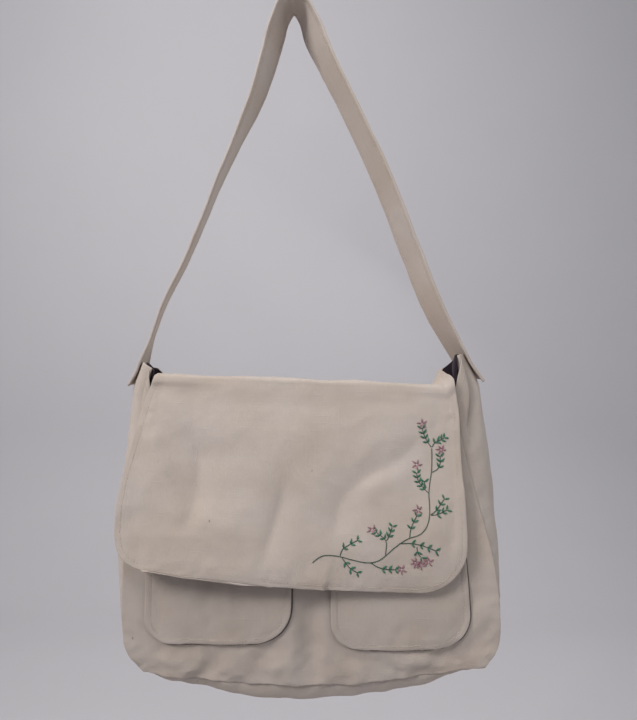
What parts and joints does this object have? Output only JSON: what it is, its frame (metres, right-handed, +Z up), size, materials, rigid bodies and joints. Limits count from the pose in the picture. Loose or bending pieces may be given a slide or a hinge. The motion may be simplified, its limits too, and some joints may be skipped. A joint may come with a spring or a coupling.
{
  "type": "cloth shoulder bag",
  "caption": "Hanging canvas shoulder bag with a front flap, patch pockets, gusseted sides and base, a dark lining and a folded cloth strap sewn outside the gussets.",
  "frame": {"origin": "underside of the strap at its highest point, where the bag hangs", "axes": "+Z up along the hanging direction, the bag's front with its flap faces -Y, +X to the viewer's right"},
  "size_m": [0.3935, 0.1347, 0.7486],
  "materials": {
    "canvas": "undyed plain-weave cotton canvas, matt, with brown seed flecks",
    "lining": "dark purple-black cotton, matt",
    "leaf_thread": "green stranded embroidery cotton, slight sheen",
    "flower_thread": "mauve stranded embroidery cotton, slight sheen"
  },
  "bodies": {
    "root": {"front_panel": "canvas", "back_panel": "canvas", "gusset_left": "canvas", "gusset_right": "canvas", "gusset_base": "canvas", "lining": "lining", "flap": "canvas", "pocket_left": "canvas", "pocket_right": "canvas", "strap": "canvas"}
  },
  "joints": []
}
